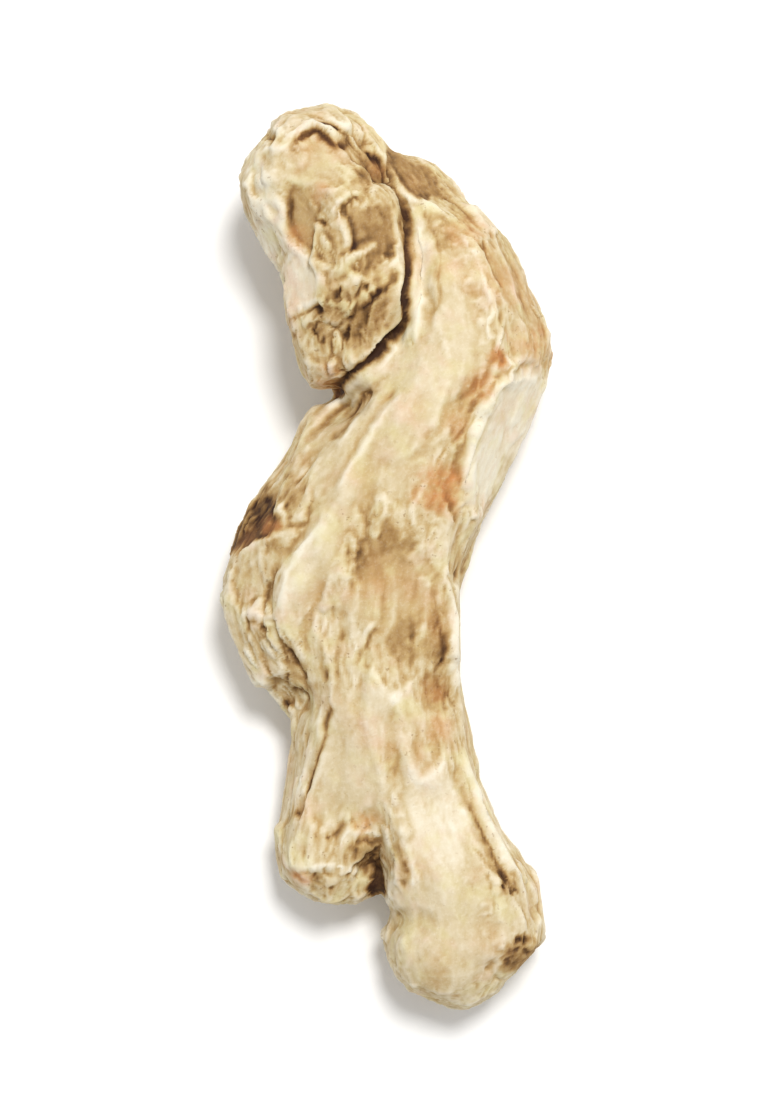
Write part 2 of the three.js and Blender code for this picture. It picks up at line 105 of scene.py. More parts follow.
# Folds of the skin, as seen from above: kind, height, width, painted shade, lobe, path. The painted
# shade darkens a fold's valleys and lightens its crests as painted highlight. A crest has a valley on
# the right hand of its path. A crease is a groove with a low lip on the left, and a seam is a longer
# and steadier one. A fold that names no lobe runs over whichever it meets.
FOLDS = [
    ("seam", 0.22, 0.3, 0.14, None,
     [(-2.2, 33.4), (-1.2, 31.8), (-0.2, 30.0), (0.9, 28.4), (1.3, 26.6), (1.5, 25.0)]),
    ("seam", 0.56, 0.25, 0.52, None,
     [(1.4, 26.8), (1.5, 25.4), (1.8, 23.2), (1.7, 21.4), (1.45, 19.4), (1.0, 18.1),
      (-0.3, 16.8), (-1.8, 15.4), (-3.3, 14.3), (-4.8, 13.6), (-6.2, 12.9)]),
    ("crest", 0.3, 0.4, 0.12, "trunk",
     [(6.4, 26.0), (4.4, 28.0), (2.0, 28.8), (0.6, 30.0), (-0.6, 32.0), (-1.2, 34.0)]),
    ("crest", 0.12, 0.4, 0.06, "trunk", [(1.0, 16.0), (2.5, 19.0), (2.7, 23.0), (2.3, 26.4), (1.2, 29.6)]),
    ("crest", 0.35, 0.4, 0.12, "trunk", [(7.9, 16.2), (8.3, 19.7), (7.4, 23.4), (5.6, 26.2)]),
    ("crest", 0.2, 0.35, 0.08, "trunk",
     [(10.8, 18.4), (10.0, 22.6), (8.4, 26.2), (6.4, 29.0), (4.6, 31.6), (1.4, 33.4)]),
    ("crease", 0.08, 0.35, 0.08, "trunk", [(3.6, 18.6), (4.0, 21.4), (3.9, 24.2), (3.2, 26.6)]),
    ("crest", 0.35, 0.35, 0.15, "trunk",
     [(13.2, 14.9), (10.5, 13.9), (8.6, 12.6), (7.2, 10.6), (6.5, 8.2), (6.3, 6.4), (6.9, 3.2)]),
    ("crease", 0.18, 0.5, 0.06, "trunk", [(8.2, 14.6), (6.0, 12.2), (4.8, 8.6), (4.4, 5.0), (5.4, 1.6)]),
    ("crease", 0.12, 0.25, 0.16, "trunk", [(-1.2, 13.2), (-2.6, 11.8), (-3.9, 9.8), (-5.0, 8.6)]),
    ("crest", 0.12, 0.3, 0.08, "trunk", [(0.8, 15.8), (-1.6, 13.6), (-4.0, 11.6), (-6.0, 9.0), (-7.6, 7.0)]),
    ("crest", 0.12, 0.3, 0.08, "trunk", [(-2.4, 14.6), (-5.0, 12.2), (-7.0, 9.8), (-8.6, 7.4)]),
    ("crest", 0.12, 0.3, 0.06, "trunk", [(1.2, 13.0), (-0.4, 10.6), (-2.8, 7.0), (-4.2, 4.0)]),
    ("crest", 0.28, 0.5, 0.12, None, [(-4.6, 3.8), (-6.2, 1.0), (-8.2, -2.0), (-9.0, -5.2)]),
    ("crest", 0.2, 0.35, 0.15, None, [(-9.4, 5.4), (-8.8, 3.4), (-8.9, 1.6), (-10.4, 0.5), (-13.2, 0.0)]),
    ("crest", 0.25, 0.3, 0.15, "shoulder", [(-12.9, -6.6), (-11.7, -5.1), (-10.2, -5.4), (-9.6, -6.6)]),
    ("crest", 0.25, 0.3, 0.12, "shoulder", [(-8.2, -13.4), (-9.7, -11.6), (-11.1, -9.4), (-12.5, -7.2)]),
    ("crease", 0.12, 0.36, 0.1, None, [(-5.2, -10.8), (-5.5, -9.2), (-5.8, -7.6)]),
    ("crease", 0.26, 0.3, 0.27, None,
     [(-8.8, -23.2), (-7.8, -21.2), (-6.9, -19.2), (-6.0, -17.0), (-5.2, -15.0), (-4.9, -13.4),
      (-5.0, -11.8)]),
    ("crease", 0.1, 0.4, 0.06, "trunk", [(4.0, -3.6), (4.1, -6.4), (4.2, -8.8), (4.0, -11.4)]),
    ("crest", 0.22, 0.32, 0.08, "trunk", [(5.2, -3.0), (5.1, -6.4), (5.2, -9.6), (5.4, -12.6)]),
    ("crest", 0.14, 0.28, 0.08, "trunk", [(-3.4, -8.8), (-2.4, -7.4), (-1.4, -6.0)]),
    ("crest", 0.07, 0.4, 0.05, "trunk", [(0.3, -1.4), (0.4, -4.4), (-0.2, -6.8), (-1.0, -9.0)]),
    ("crest", 0.08, 0.4, 0.05, "trunk", [(3.0, -1.8), (2.9, -5.0), (2.7, -9.0), (1.5, -11.4), (0.5, -12.3)]),
    ("crest", 0.08, 0.4, 0.05, "trunk", [(-2.4, -1.8), (-2.8, -5.0), (-3.2, -9.0), (-2.9, -12.0)]),
    ("crest", 0.1, 0.4, 0.12, "big_finger",
     [(5.0, -15.6), (4.3, -17.6), (2.9, -18.9), (1.7, -18.2), (1.0, -16.6), (0.7, -14.4)]),
    ("crest", 0.3, 0.35, 0.1, "big_finger",
     [(5.5, -15.4), (6.6, -18.6), (7.8, -21.6), (9.0, -24.4), (10.6, -27.0), (12.2, -29.4)]),
    ("crease", 0.15, 0.3, 0.1, "big_finger", [(7.0, -21.2), (7.8, -23.2), (8.4, -25.2), (8.8, -26.6)]),
    ("crest", 0.26, 0.32, 0.12, None,
     [(-0.5, -22.4), (0.3, -24.0), (0.6, -25.8), (0.2, -27.8), (-0.2, -30.8)]),
    ("crest", 0.16, 0.32, 0.12, "big_finger", [(0.7, -22.2), (1.4, -24.2), (1.8, -26.2), (1.9, -27.6)]),
    ("crest", 0.25, 0.3, 0.1, None, [(-4.2, -23.8), (-2.8, -22.9), (-1.4, -22.7), (-0.4, -23.4)]),
    ("crease", 0.16, 0.3, 0.16, "small_finger", [(-5.4, -23.7), (-4.6, -23.0), (-3.8, -22.4), (-2.8, -22.1)]),
    ("crease", 0.42, 0.42, 0.3, None, [(-1.4, -24.6), (-1.1, -26.0), (-1.1, -27.2), (-1.3, -28.8)]),
    ("crest", 0.2, 0.3, 0.12, "small_finger",
     [(-9.0, -23.6), (-8.0, -25.4), (-6.4, -25.6), (-4.8, -25.4), (-3.6, -25.9), (-2.4, -27.2)]),
    ("crest", 0.3, 0.32, 0.12, "side_branch",
     [(-5.4, 22.4), (-6.8, 23.5), (-8.2, 24.8), (-8.9, 26.6), (-8.9, 29.8)]),
    ("crest", 0.25, 0.28, 0.12, "side_branch",
     [(-3.6, 23.6), (-3.5, 25.4), (-4.7, 27.2), (-3.6, 28.4), (-1.6, 29.2)]),
    ("crease", 0.2, 0.22, 0.2, "side_branch", [(-4.4, 23.8), (-4.8, 25.2), (-5.3, 26.8)]),
    ("crest", 0.3, 0.3, 0.12, "side_branch", [(-1.2, 24.8), (-2.4, 23.8), (-3.8, 23.0), (-5.6, 22.5)]),
    ("crest", 0.25, 0.28, 0.12, "side_branch", [(0.9, 23.8), (-0.8, 22.2), (-2.6, 21.7), (-3.8, 22.2)]),
    ("crease", 0.3, 0.25, 0.3, "side_branch", [(-3.3, 16.6), (-3.1, 18.8), (-1.6, 20.0), (-0.2, 21.1)]),
    ("crease", 0.25, 0.22, 0.25, "side_branch", [(-8.2, 19.0), (-6.6, 19.6), (-5.0, 19.0)]),
    ("crest", 0.25, 0.3, 0.1, "side_branch", [(-7.8, 18.2), (-6.0, 18.9), (-4.6, 18.2), (-4.4, 16.4)]),
    ("crest", 0.3, 0.32, 0.1, "side_branch",
     [(-3.4, 15.0), (-0.8, 16.9), (0.5, 18.8), (0.9, 21.6), (0.7, 24.8), (0.2, 27.6)]),
    ("crest", 0.2, 0.25, 0.1, "side_branch", [(-6.8, 16.6), (-5.2, 15.4), (-4.6, 14.2)]),
    ("crest", 0.3, 0.35, 0.15, "side_branch",
     [(-10.9, 36.4), (-9.4, 35.0), (-8.4, 33.8), (-8.9, 32.8), (-10.4, 33.2)]),
    ("crease", 0.35, 0.3, 0.42, "side_branch",
     [(-8.6, 32.7), (-7.2, 33.6), (-6.2, 34.2), (-5.4, 33.4), (-4.4, 33.1), (-2.9, 33.5)]),
    ("crest", 0.25, 0.3, 0.1, "side_branch", [(-8.4, 33.8), (-6.6, 35.1), (-5.0, 34.3), (-3.2, 34.5)]),
    ("crease", 0.25, 0.24, 0.38, "side_branch", [(-6.0, 35.4), (-5.0, 34.7), (-4.2, 34.3), (-3.0, 33.8)]),
]
FOLD_WANDER = 0.35     # how far a fold strays from its drawn path
FOLD_RELIEF = 1.5      # how much stronger all folds are than drawn
FOLD_CONTRAST = 1.7    # how much more painted shade darkens all valleys, and painted highlight lightens all crests, than drawn
MOST_SHRINK = 0.3      # the furthest that drying flat moves the skin

# Places where the whole surface moves sideways, as seen from above: x, y, radius across, radius
# along, heading in degrees from +X, move x, move y
NUDGES = [(0.7, 23.0, 2.6, 7.0, 90, 0.9, 0.0), (-5.6, 11.6, 3.4, 4.4, 48, -0.8, 0.7)]

# Faces where the flesh dried flat: x, y, radius across, radius along, heading, how flat up to 1
FACETS = [
    (9.3, 9.4, 2.3, 6.6, 62, 0.85), (-11.6, 2.4, 1.6, 2.6, 50, 0.9), (-3.8, -18.4, 2.7, 4.4, 75, 0.5),
    (-7.2, 27.0, 1.5, 2.6, 97, 0.9), (-1.4, 26.0, 2.1, 2.9, 95, 0.85), (-7.5, 21.6, 1.2, 2.6, 108, 0.8),
    (-6.4, 31.0, 1.6, 3.2, 165, 0.7), (2.2, 31.2, 1.6, 2.9, 135, 0.9), (-1.6, 18.6, 1.3, 2.0, 60, 0.6),
    (5.8, 19.2, 2.0, 5.6, 98, 0.5), (10.4, 22.2, 2.0, 5.0, 112, 0.6), (1.6, 12.0, 2.8, 5.0, 65, 0.35),
    (4.4, -23.4, 2.4, 5.4, 108, 0.22), (-11.2, -3.2, 1.8, 3.0, 100, 0.6), (0.6, -5.0, 3.6, 5.4, 90, 0.4),
    (-8.0, -9.0, 1.2, 2.2, 112, 0.7),
]

# Pits: x, y, radius across, radius along, heading, depth. One with a depth below 0 stands up.
PITS = [
    (-1.9, 31.5, 1.1, 1.9, 62, -0.45), (-4.2, 20.6, 0.45, 0.7, 85, 0.5), (-6.1, 17.6, 0.45, 0.7, 140, 0.5),
    (9.2, 15.3, 0.6, 0.9, 20, 0.3), (-5.9, 22.8, 0.3, 0.5, 120, 0.25), (-8.2, -8.4, 0.7, 1.2, 115, 0.35),
    (-8.7, -12.4, 0.4, 0.6, 20, 0.45), (-4.0, -7.0, 0.3, 0.5, 90, 0.15),
    (-11.2, -4.0, 0.35, 0.5, 90, 0.2), (-2.0, -24.6, 1.2, 1.8, 150, -0.5), (-6.0, -26.6, 0.4, 0.5, 0, 0.35),
    (-4.5, -27.6, 0.4, 0.6, 20, 0.35), (-3.1, -26.5, 0.35, 0.5, 0, 0.3), (8.9, -27.0, 0.4, 0.7, 100, 0.3),
    (10.0, -27.7, 0.35, 0.5, 150, 0.3), (10.7, -31.5, 0.4, 0.5, 0, 0.35), (-10.4, -6.4, 0.4, 0.8, 60, 0.25),
]

# Places that were peeled smooth: x, y, radius across, radius along, heading
PEELED = [
    (4.4, 18.6, 3.2, 7.6, 96), (2.2, 13.0, 3.6, 5.6, 65), (-1.4, 8.2, 3.6, 5.6, 60), (9.0, 9.6, 2.4, 6.4, 62),
    (-6.4, -0.8, 2.0, 4.6, 64), (-6.6, 30.8, 2.2, 3.6, 165), (-7.4, 21.8, 1.3, 2.8, 108),
    (-1.4, 26.0, 2.0, 2.6, 95), (-3.4, -17.4, 3.0, 5.0, 75), (4.0, -23.0, 3.0, 5.6, 105),
    (4.6, -30.6, 4.8, 5.0, 110), (2.2, 31.2, 1.5, 2.6, 135), (-1.6, -13.8, 2.8, 2.2, 0),
    (-7.2, 27.0, 1.3, 2.2, 97), (10.4, 22.2, 1.4, 4.0, 112), (0.2, -3.6, 3.3, 4.6, 90),
    (-4.6, 11.0, 1.8, 4.0, 50),
]

# Patches of tone: x, y, radius across, radius along, heading, tone from 0, chalk, to 1, darkest brown
PATCHES = [
    (-4.6, 24.0, 6.0, 11.0, 97, 0.52), (-6.6, 31.0, 1.9, 3.4, 165, 0.38), (-10.2, 28.0, 1.1, 5.0, 105, 0.0),
    (-7.2, 27.0, 1.5, 2.4, 95, 0.58), (-1.2, 25.8, 2.3, 2.9, 95, 0.7), (-7.4, 21.7, 1.5, 3.0, 105, 0.03),
    (-2.0, 19.4, 2.0, 3.2, 60, 0.68), (-5.4, 18.4, 2.2, 1.5, 0, 0.68), (-1.7, 31.4, 1.0, 1.9, 60, 0.9),
    (-9.6, 34.6, 1.6, 2.2, 120, 0.4), (2.3, 31.4, 1.7, 2.9, 142, 0.74), (6.8, 29.6, 1.2, 4.6, 128, 0.5),
    (4.6, 26.2, 1.8, 2.4, 110, 0.62), (5.8, 19.0, 2.0, 5.6, 98, 0.3), (2.4, 22.6, 0.5, 5.4, 92, 0.25),
    (3.9, 22.2, 0.8, 3.6, 92, 0.42), (10.0, 22.4, 2.0, 4.4, 115, 0.5), (12.4, 17.4, 1.4, 2.6, 100, 0.5),
    (9.0, 15.4, 0.8, 1.0, 30, 0.72), (10.3, 15.4, 0.4, 0.6, 0, 0.0), (10.6, 11.8, 1.8, 4.0, 60, 0.02),
    (7.7, 6.6, 1.0, 3.6, 75, 0.0), (5.4, 9.8, 1.1, 5.4, 68, 0.42), (4.3, 5.0, 1.5, 2.0, 90, 0.64),
    (2.0, 13.4, 2.8, 4.6, 65, 0.26), (-1.2, 8.4, 2.8, 4.6, 60, 0.38), (-5.8, 10.4, 1.4, 4.8, 52, 0.5),
    (-7.6, 4.9, 1.5, 1.0, 0, 0.58), (-11.2, 2.4, 2.3, 3.4, 50, 1.0), (-7.0, -0.8, 1.3, 3.4, 62, 0.26),
    (-5.6, -4.6, 1.8, 2.4, 80, 0.3), (-11.0, -3.0, 1.8, 3.0, 100, 0.36), (-8.4, -8.4, 0.9, 1.5, 110, 0.45),
    (-7.3, -10.4, 1.1, 1.4, 110, 0.58), (-9.8, -10.6, 0.8, 1.6, 115, 0.34), (-0.6, -1.2, 2.6, 3.2, 90, 0.8),
    (0.6, -5.0, 4.0, 4.6, 90, 0.46), (1.1, -7.4, 1.7, 1.9, 90, 0.66), (3.9, -7.4, 1.1, 4.8, 92, 0.66),
    (6.0, -0.6, 0.8, 2.2, 85, 0.5), (3.7, -11.4, 1.3, 1.8, 90, 0.6), (5.2, -7.8, 0.35, 3.4, 90, 0.2),
    (-1.8, -14.0, 2.8, 2.2, 0, 0.28), (0.4, -12.3, 0.5, 0.6, 0, 0.02), (4.5, -15.0, 1.0, 2.0, 100, 0.5),
    (-3.6, -18.2, 2.6, 3.8, 75, 0.28), (-3.6, -21.8, 2.2, 1.4, 0, 0.36), (-1.8, -24.8, 1.3, 2.0, 145, 0.86),
    (-1.0, -27.0, 0.6, 2.4, 90, 0.9), (-5.2, -26.8, 3.0, 1.0, 0, 0.5), (1.1, -25.2, 0.8, 2.6, 85, 0.76),
    (4.0, -22.6, 2.4, 4.2, 102, 0.08), (4.0, -29.8, 4.0, 3.6, 0, 0.29), (3.6, -34.4, 3.4, 1.3, 5, 0.46),
    (10.6, -32.8, 1.3, 1.6, 20, 0.92), (9.4, -27.2, 0.7, 1.2, 130, 0.75), (8.6, -22.6, 0.6, 5.4, 114, 0.28),
]

# Rusty orange places: x, y, radius, strength
ORANGE = [
    (12.0, 17.0, 1.8, 0.5), (9.6, 22.0, 2.4, 0.3), (9.0, 15.4, 1.0, 1.0), (7.4, 13.0, 1.4, 0.5),
    (5.4, 10.2, 1.4, 0.35), (4.3, 5.0, 1.9, 0.85), (-7.2, -26.5, 0.8, 0.9), (3.8, -14.4, 1.4, 0.35),
    (-2.2, -22.3, 0.9, 0.7), (-7.6, 25.6, 1.0, 0.5), (3.6, -11.4, 1.2, 0.4), (-9.8, 2.0, 0.8, 0.7),
    (-1.5, 31.2, 0.8, 0.3), (6.2, 26.2, 1.6, 0.35), (-5.2, 14.2, 0.9, 0.5), (-5.4, 29.0, 0.7, 0.5),
]


# Smooth random fields

def scrambled(corners, seed):
    """A whole number for each grid point, well mixed and the same on every run."""
    n = corners @ np.array([374761393, 668265263, 2147483647], np.int64)
    n = (n + seed * 974711) & 0xFFFFFFFF
    n = ((n ^ (n >> 13)) * 1274126177) & 0xFFFFFFFF
    n = ((n ^ (n >> 16)) * 2246822519) & 0xFFFFFFFF
    return n ^ (n >> 15)


def three_parts(mixed):
    """Three numbers from 0 to 1 out of each scrambled one."""
    return np.stack([mixed & 1023, (mixed >> 10) & 1023, (mixed >> 20) & 1023], 1) / 1023


def noise(points, seed=0):
    """Gradient noise from about -1 to 1, with features about 1 across. Each seed has its own pattern."""
    cell = np.floor(points).astype(np.int64)
    part = points - cell
    curve = part ** 3 * (part * (part * 6 - 15) + 10)
    total = np.zeros(len(points))
    for corner in np.ndindex(2, 2, 2):
        slope = three_parts(scrambled(cell + corner, seed)) * 2 - 1
        weight = np.prod(np.where(corner, curve, 1 - curve), axis=1)
        total += weight * np.einsum("ij,ij->i", slope, part - corner)
    return total * 1.4


def layered(points, seed, layers=3, gain=0.5):
    """Noise with finer noise on it."""
    return sum(gain ** n * noise(points * 2 ** n, seed + 17 * n) for n in range(layers))


def cells(points, seed):
    """The random cell that each point is in, and its distance from that cell's edge."""
    corner = np.floor(points).astype(np.int64)
    nearest = np.full(len(points), 9.0)
    second = np.full(len(points), 9.0)
    owner = np.zeros(len(points), np.int64)
    for step in np.ndindex(3, 3, 3):
        at = corner + step - 1
        mixed = scrambled(at, seed)
        far = np.linalg.norm(at + three_parts(mixed) - points, axis=1)
        second = np.minimum(second, np.maximum(nearest, far))
        owner = np.where(far < nearest, mixed, owner)
        nearest = np.minimum(nearest, far)
    return owner, second - nearest


def smooth_step(low, high, value):
    """0 at low, 1 at high, and a smooth curve between. Low may be the larger."""
    share = np.clip((value - low) / (high - low), 0, 1)
    return share * share * (3 - 2 * share)


def spline(points, steps=10):
    """A smooth line through points."""
    points = np.array(points, float)
    held = [2 * points[0] - points[1], *points, 2 * points[-1] - points[-2]]
    line = []
    for a, b, c, d in zip(held, held[1:], held[2:], held[3:]):
        for t in np.linspace(0, 1, steps, endpoint=False):
            bend = (2 * a - 5 * b + 4 * c - d) * t ** 2 + (3 * b - a - 3 * c + d) * t ** 3
            line.append(0.5 * (2 * b + (c - a) * t + bend))
    return np.array([*line, held[-2]])


# The root's own coordinates

def along_lobe(points, stations):
    """Each point's place across, up and along a lobe, scaled to LOBE_RADIUS, and how far out it is."""
    line = spline(stations, 8)
    length = np.concatenate([[0], np.cumsum(np.linalg.norm(np.diff(line[:, :3], axis=0), axis=1))])
    best = np.full(len(points), 1e9)
    found = np.zeros((len(points), 4))
    last = len(line) - 2
    for number, (a, b, start, end) in enumerate(zip(line, line[1:], length, length[1:])):
        step = b[:3] - a[:3]
        share = np.clip((points - a[:3]) @ step / (step @ step), 0, 1)
        offset = points - a[:3] - share[:, None] * step
        distance = np.einsum("ij,ij->i", offset, offset)
        tangent = step / np.linalg.norm(step)
        side = np.cross(tangent, (0, 0, 1))
        side /= np.linalg.norm(side)
        up = np.cross(side, tangent)
        width = a[3] + share * (b[3] - a[3])
        height = a[4] + share * (b[4] - a[4])
        u = offset @ side / width
        v = offset @ up / height
        past = offset @ tangent
        w = (np.minimum(past, 0) if number == 0 else 0) + (np.maximum(past, 0) if number == last else 0)
        out = np.sqrt(u * u + v * v + (w / (width + height) * 2) ** 2)
        here = np.stack([u * LOBE_RADIUS, v * LOBE_RADIUS, start + share * (end - start) + w, out], 1)
        nearer = distance < best
        best = np.where(nearer, distance, best)
        found = np.where(nearer[:, None], here, found)
    return found[:, :3], found[:, 3]


class Skin:
    """The root's surface while it is sculpted: points and normals in millimetres, and what joins them."""

    def __init__(self, mesh):
        self.mesh = mesh
        count = len(mesh.vertices)
        flat = np.empty(count * 3)
        mesh.vertices.foreach_get("co", flat)
        self.points = flat.reshape(-1, 3) / MM
        edges = np.empty(len(mesh.edges) * 2, np.int64)
        mesh.edges.foreach_get("vertices", edges)
        self.edges = edges.reshape(-1, 2).T
        self.joined = np.bincount(self.edges.ravel(), minlength=count)
        self.lobes = {name: along_lobe(self.points, stations) for name, stations in LOBES.items()}
        out = np.stack([far for _, far in self.lobes.values()])
        share = np.exp(-LOBE_SHARPNESS * (out - out.min(0)))
        self.shares = dict(zip(self.lobes, share / share.sum(0)))
        # Painted shade added to the tone: darker in valleys, creases, pits and where lobes meet, lighter on
        # crests as painted highlight
        self.shade = np.zeros(count)
        wander = [noise(self.points * 0.4, 31 + n) + 0.4 * noise(self.points * 1.1, 41 + n) for n in (0, 1)]
        self.plan = self.points[:, :2] + FOLD_WANDER * np.stack(wander, 1)
        self.update()

    def update(self):
        """Hands the points to the mesh, and takes its new normals."""
        self.points[:, 2] = np.maximum(self.points[:, 2], 0)
        self.mesh.vertices.foreach_set("co", (self.points * MM).ravel())
        self.mesh.update()
        flat = np.empty(len(self.points) * 3)
        self.mesh.vertices.foreach_get("normal", flat)
        self.normals = flat.reshape(-1, 3)
        self.upper = smooth_step(-0.15, 0.2, self.normals[:, 2])

    def push(self, height):
        """Moves the surface out by height."""
        self.points += height[:, None] * self.normals
        self.update()

    def evened(self, values, rounds):
        """Points or normals averaged with their neighbours', a number of times over."""
        a, b = self.edges
        for _ in range(rounds):
            total = [np.bincount(a, column[b], len(column)) + np.bincount(b, column[a], len(column))
                     for column in values.T]
            values = (values + np.stack(total, 1) / self.joined[:, None]) / 2
        return values

    def on_lobes(self, pattern):
        """A pattern worked out in each lobe's own coordinates, and blended where lobes meet."""
        total = np.zeros(len(self.points))
        for number, (name, (place, _)) in enumerate(self.lobes.items()):
            share = self.shares[name]
            used = share > 0.01
            total[used] += share[used] * pattern(place[used], 100 * number)
        return total

    def main_lobe(self):
        """Each point's place on the lobe that it is most on, and how surely it is on that one."""
        share = np.stack(list(self.shares.values()))
        places = np.stack([place for place, _ in self.lobes.values()])
        first = share.argmax(0)
        place = places[first, np.arange(len(first))]
        return place + first[:, None] * LOBES_APART, smooth_step(0.55, 0.9, share.max(0))

    def oval(self, x, y, across, along, heading, ragged=0.0):
        """0 at the middle of an oval, 1 on its rim, and more outside, as seen from above."""
        turn = math.radians(heading)
        offset = self.plan - (x, y)
        lengthwise = offset @ (math.cos(turn), math.sin(turn))
        sideways = offset @ (-math.sin(turn), math.cos(turn))
        far = np.hypot(lengthwise / along, sideways / across)
        near = far < 3
        far[near] += ragged * (noise(self.points[near] * 0.7, 8) + 0.6 * noise(self.points[near] * 1.9, 9))
        return far

    def beside(self, path, reach):
        """Points near a path, how far they are to the left of it, and how far along it from 0 to 1."""
        line = spline(path, 6)
        inside = np.all((self.plan > line.min(0) - reach) & (self.plan < line.max(0) + reach), axis=1)
        near = np.nonzero(inside & (self.normals[:, 2] > -0.15))[0]
        plan = self.plan[near]
        best = np.full(len(near), 1e9)
        left = np.zeros(len(near))
        share = np.zeros(len(near))
        for number, (a, b) in enumerate(zip(line, line[1:])):
            step = b - a
            t = np.clip((plan - a) @ step / (step @ step), 0, 1)
            offset = plan - a - t[:, None] * step
            distance = np.linalg.norm(offset, axis=1)
            nearer = distance < best
            side = np.sign(step[0] * offset[:, 1] - step[1] * offset[:, 0])
            best = np.where(nearer, distance, best)
            left = np.where(nearer, distance * side, left)
            share = np.where(nearer, (number + t) / (len(line) - 1), share)
        return near, left, share


# Sculpting

PANEL_BEND = 0.9           # how far the edges of the panels stray
LARGE_PANEL = (5.5, 12.0)  # across and along the lobe
SMALL_PANEL = (2.4, 5.5)
SWELL = 0.3                # of the slow rise and fall of the whole skin
SMALL_SWELL = 0.14
RIDGE_HEIGHT = 0.3         # of the long wrinkles
WRINKLE_HEIGHT = 0.07      # of the fine ones
GRAIN_HEIGHT = 0.025
# How deep the line where the side branch lies on the trunk sinks, and how dark its painted shade is
UNDERCUT_DEPTH = 0.55
UNDERCUT_PAINTED_SHADE = 0.6

# Height of each kind of fold across it, by widths to the left of its path
PROFILES = {
    "crest": lambda a: np.exp(-np.abs(a) ** 1.2) - 0.5 * np.exp(-((a + 2.3) / 1.1) ** 2),
    "crease": lambda a: 0.4 * np.exp(-((a - 2.3) / 1.1) ** 2) - np.exp(-np.abs(a) ** 1.3),
    "seam": lambda a: 0.3 * np.exp(-((a - 3.6) / 1.9) ** 2) - np.exp(-np.abs(a) ** 1.3),
}


def fold(skin, kind, height, width, painted_shading, lobe, path):
    """Raises and sinks the skin along a path, with painted shade in its valleys and painted highlight
    on its crests. It fades towards both ends.
    """
    near, left, share = skin.beside(path, 7 * width)
    uneven = np.clip(0.85 + 0.7 * noise(skin.points[near] * 0.45, 21), 0.2, 1.4)
    ends = 0.15
    if kind == "seam":
        uneven = np.clip(uneven, 0.8, 1.1)
        ends = 0.07
    fade = smooth_step(0, ends, share) * smooth_step(1, 1 - ends, share)
    amount = PROFILES[kind](left / width) * fade * uneven * skin.upper[near]
    if lobe:
        amount *= skin.shares[lobe][near] ** 0.5
    skin.points[near] += (FOLD_RELIEF * height * amount)[:, None] * skin.normals[near]
    # painted shade in the valleys and painted highlight on the crests, added to the tone
    skin.shade[near] -= FOLD_CONTRAST * painted_shading * amount


def ease(skin, share):
    """Evens the surface out, by share."""
    skin.points += share[:, None] * (skin.evened(skin.points, 2) - skin.points)
    skin.update()


def undercut(skin, upper_lobe, lower_lobe, depth, painted_shading):
    """Sinks the line where one lobe lies on another, and darkens it with painted shade."""
    border = (4 * skin.shares[upper_lobe] * skin.shares[lower_lobe]) ** 1.6
    uneven = np.clip(0.9 + 0.5 * noise(skin.points * 0.3, 22), 0.3, 1.3) * (1 - 0.8 * skin.upper)
    skin.shade += painted_shading * border * uneven
    skin.push(-depth * border * uneven)
    ease(skin, smooth_step(0.1, 0.5, border))


def dry_flat(skin, share, groups):
    """Pulls each group of points towards its own middle plane, by share."""
    _, group = np.unique(groups, return_inverse=True)
    group = group.ravel()
    weight = np.maximum(share, 1e-4)
    total = np.bincount(group, weight)
    middle = np.stack([np.bincount(group, weight * column) / total for column in skin.points.T], 1)
    facing = np.stack([np.bincount(group, weight * column) for column in skin.normals.T], 1)
    facing /= np.linalg.norm(facing, axis=1)[:, None] + 1e-9
    over = np.einsum("ij,ij->i", skin.points - middle[group], facing[group])
    skin.points -= np.clip(share * over, -MOST_SHRINK, MOST_SHRINK)[:, None] * facing[group]
    skin.update()


def nudge(skin, x, y, across, along, heading, move_x, move_y):
    """Moves a place sideways, and the marks that are drawn on it too."""
    far = skin.oval(x, y, across, along, heading)
    share = np.clip(1 - far * far, 0, 1) ** 2
    skin.points[:, :2] += share[:, None] * (move_x, move_y)
    skin.plan += share[:, None] * (move_x, move_y)


def facets(skin):
    """The flats, each with a rim."""
    for x, y, across, along, heading, flat in FACETS:
        inside = smooth_step(1.12, 0.9, skin.oval(x, y, across, along, heading, 0.12)) * skin.upper
        dry_flat(skin, inside * flat, inside > 0)


def shrink_panels(skin, bend, wide, long, strength, seed, edge):
    """Sinks the skin flat between a net of bent ridges. Panels are about wide by long."""
    for number, (name, (place, _)) in enumerate(skin.lobes.items()):
        own = (place + bend) / (wide, wide, long)
        owner, inside = cells(own, seed + number)
        share = strength * smooth_step(0.0, edge, inside) * smooth_step(0.5, 0.9, skin.shares[name])
        dry_flat(skin, share, np.where(skin.shares[name] > 0.5, owner, 0))


def pit(skin, x, y, across, along, heading, depth):
    """Sinks a ragged pit, with painted shade that darkens towards its floor."""
    rim = skin.oval(x, y, across, along, heading, 0.45)
    floor = smooth_step(1.5, 0.2, rim) * skin.upper
    skin.points -= (depth * floor)[:, None] * skin.normals
    skin.shade += 0.6 * max(depth, 0) * floor


def peeled_share(skin):
    """How smoothly each point is peeled: the drawn places above, and scattered ones below."""
    total = np.zeros(len(skin.points))
    for place in PEELED:
        total = np.maximum(total, smooth_step(1.35, 0.75, skin.oval(*place, 0.4)))
    elsewhere = smooth_step(0.1, 0.5, noise(skin.points * 0.11, 61))
    return skin.upper * total + (1 - skin.upper) * elsewhere


